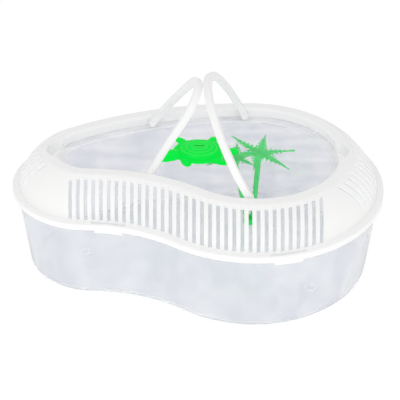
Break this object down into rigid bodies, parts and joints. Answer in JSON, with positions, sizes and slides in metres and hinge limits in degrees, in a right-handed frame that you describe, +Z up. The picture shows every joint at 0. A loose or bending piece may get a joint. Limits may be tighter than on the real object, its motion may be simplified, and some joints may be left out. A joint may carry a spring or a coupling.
{
  "type": "turtle habitat",
  "caption": "Kidney-shaped clear turtle tank with a vented domed lid, a clear window, folding carry handles, a turtle-shaped feeding door and a plastic palm inside.",
  "frame": {"origin": "centre of the outer box at the surface the tub stands on", "axes": "+X along the tank towards the large lobe, +Y towards the bowed back, +Z up"},
  "size_m": [0.4, 0.2815, 0.219],
  "materials": {
    "clear_tub": "clear moulded plastic with a faint blue-grey tint",
    "clear_window": "clear plastic sheet with a faint lavender tint",
    "white_moulding": "satin white moulded plastic",
    "white_handle": "satin white moulded plastic",
    "green_door": "bright green moulded plastic",
    "palm_green": "soft green moulded plastic",
    "palm_stem": "soft green moulded plastic with rings"
  },
  "bodies": {
    "tub": {"tub": "clear_tub", "palm_base": "palm_green", "tall_palm_trunk": "palm_stem", "short_palm_trunk": "palm_stem", "tall_palm_fronds": "palm_green", "short_palm_fronds": "palm_green"},
    "lid": {"lid_frame": "white_moulding", "window_panel": "clear_window"},
    "handle_left": {"handle_left": "white_handle"},
    "handle_right": {"handle_right": "white_handle"},
    "feeding_door": {"feeding_door": "green_door"}
  },
  "joints": [
    {"name": "lid_lift", "type": "slide", "parent": "tub", "child": "lid", "axis": [0, 0, 1], "range_m": [0, 0.06]},
    {"name": "handle_left_fold", "type": "hinge", "parent": "lid", "child": "handle_left", "pos_m": [-0.05, 0, 0.1326], "axis": [0, -1, 0], "range_deg": [0, 122]},
    {"name": "handle_right_fold", "type": "hinge", "parent": "lid", "child": "handle_right", "pos_m": [0.0528, 0, 0.1326], "axis": [0, 1, 0], "range_deg": [0, 117]},
    {"name": "feeding_door_swing", "type": "hinge", "parent": "lid", "child": "feeding_door", "pos_m": [0.0375, 0.013, 0.1285], "axis": [0, 0, 1], "range_deg": [0, 90]}
  ]
}
